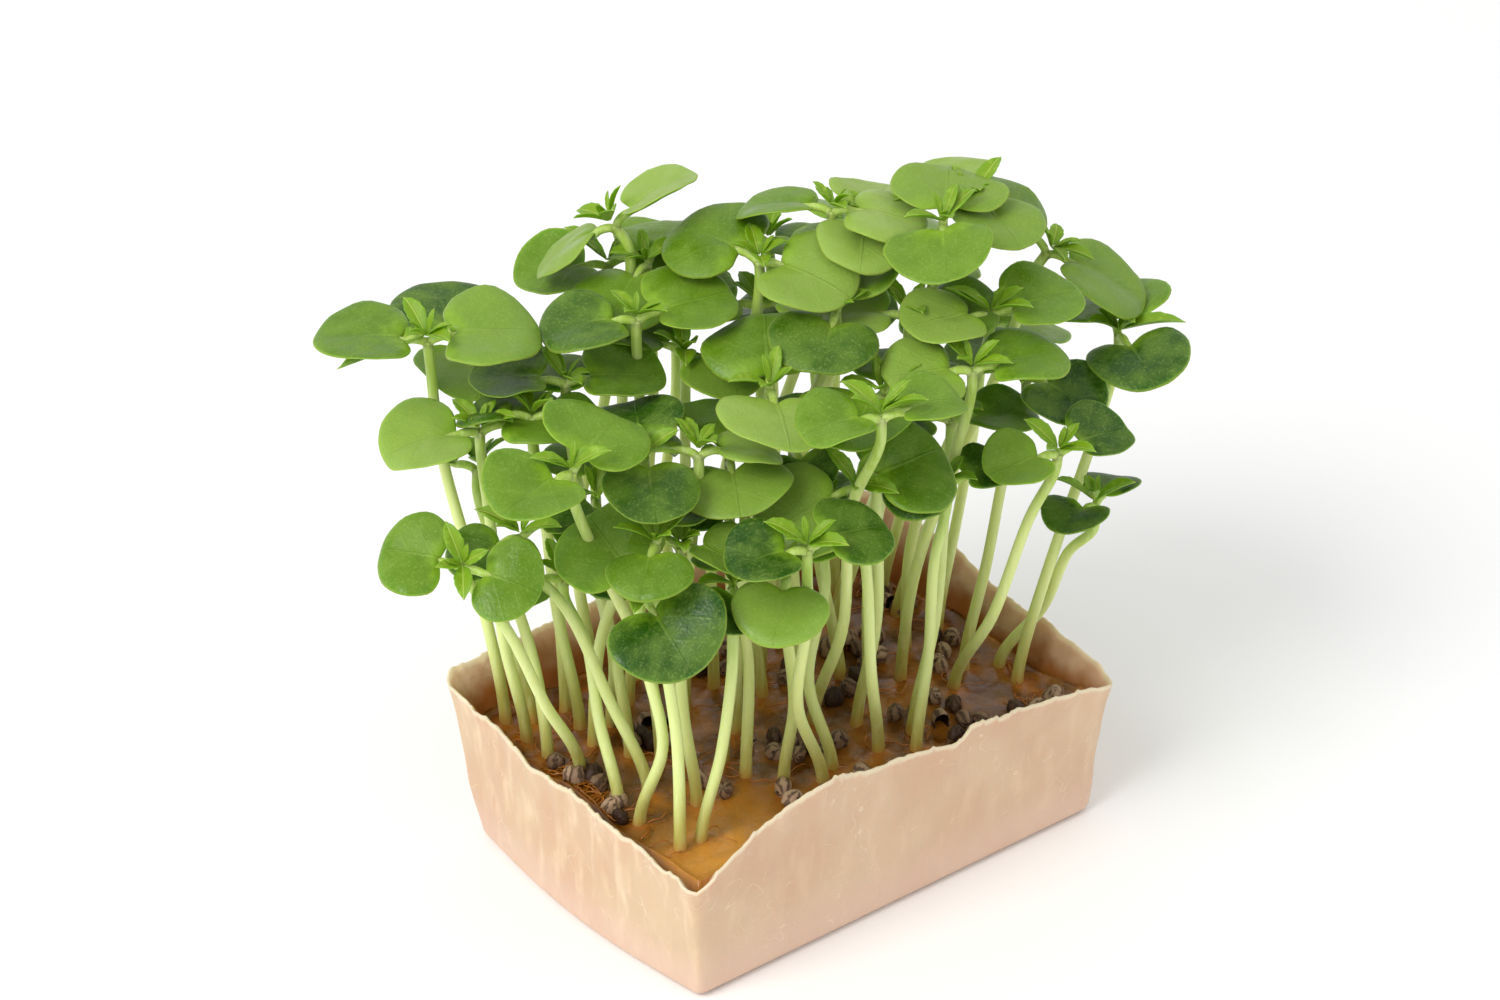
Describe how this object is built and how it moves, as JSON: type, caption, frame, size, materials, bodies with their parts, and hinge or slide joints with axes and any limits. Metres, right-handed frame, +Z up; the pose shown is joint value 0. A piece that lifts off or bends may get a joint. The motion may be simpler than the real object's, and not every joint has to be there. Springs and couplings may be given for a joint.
{
  "type": "microgreens tray",
  "caption": "Tray of young seedlings: bent stems with paired kidney-shaped seed leaves stand in a wet pad inside a pressed fibre tray.",
  "frame": {"origin": "middle of the tray's flat underside", "axes": "+Z up out of the tray, +X along the tray's long side, -Y out of the long side whose rim bulges up"},
  "size_m": [0.0974, 0.067, 0.0762],
  "materials": {
    "pressed_fibre": "damp pressed plant fibre, pinkish beige, paler and thinner at the torn rim",
    "wet_pad": "soaked orange-brown fibre pad with grey-brown seed hulls on top",
    "seedling_green": "fresh leaf: mid green matte seed leaves, yellow-green first leaves, pale stems"
  },
  "bodies": {
    "root": {"fibre_tray": "pressed_fibre", "growing_pad": "wet_pad", "seedling_01": "seedling_green", "seedling_02": "seedling_green", "seedling_04": "seedling_green", "seedling_05": "seedling_green", "seedling_07": "seedling_green", "seedling_16": "seedling_green", "seedling_17": "seedling_green", "seedling_18": "seedling_green", "seedling_19": "seedling_green", "seedling_20": "seedling_green", "seedling_25": "seedling_green", "seedling_26": "seedling_green", "seedling_27": "seedling_green", "seedling_30": "seedling_green", "seedling_31": "seedling_green", "seedling_32": "seedling_green", "seedling_33": "seedling_green", "seedling_34": "seedling_green", "seedling_35": "seedling_green", "seedling_40": "seedling_green", "seedling_41": "seedling_green", "seedling_43": "seedling_green", "seedling_44": "seedling_green", "seedling_45": "seedling_green", "seedling_47": "seedling_green", "seedling_49": "seedling_green", "seedling_50": "seedling_green", "seedling_51": "seedling_green", "seedling_52": "seedling_green", "seedling_53": "seedling_green", "seedling_54": "seedling_green", "seedling_56": "seedling_green", "seedling_clump_13": "seedling_green", "seedling_clump_14": "seedling_green", "seedling_clump_23": "seedling_green", "seedling_clump_28": "seedling_green", "seedling_clump_36": "seedling_green"}
  },
  "joints": []
}
